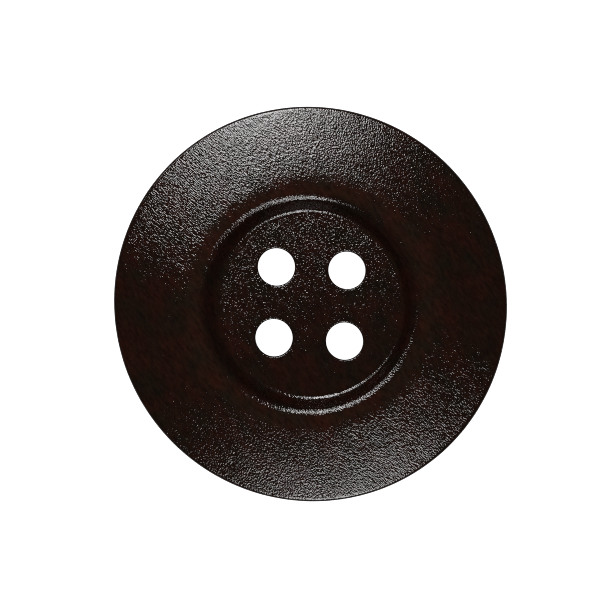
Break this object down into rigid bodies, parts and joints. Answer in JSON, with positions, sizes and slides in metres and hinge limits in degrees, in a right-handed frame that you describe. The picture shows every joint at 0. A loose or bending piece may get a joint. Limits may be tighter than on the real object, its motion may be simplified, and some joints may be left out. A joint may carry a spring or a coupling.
{
  "type": "sew on button",
  "caption": "Round turned-wood button with a wide falling brim, a raised crest, a sunken flat well and sewing holes through its floor.",
  "frame": {"origin": "centre of the flat back face, on the turning axis", "axes": "+Z out of the front, along the turning axis; the square of sewing holes lines up with X and Y"},
  "size_m": [0.03, 0.03, 0.0042],
  "materials": {
    "stained_wood": "very dark brown stain under satin lacquer"
  },
  "bodies": {
    "root": {"button_body": "stained_wood"}
  },
  "joints": []
}
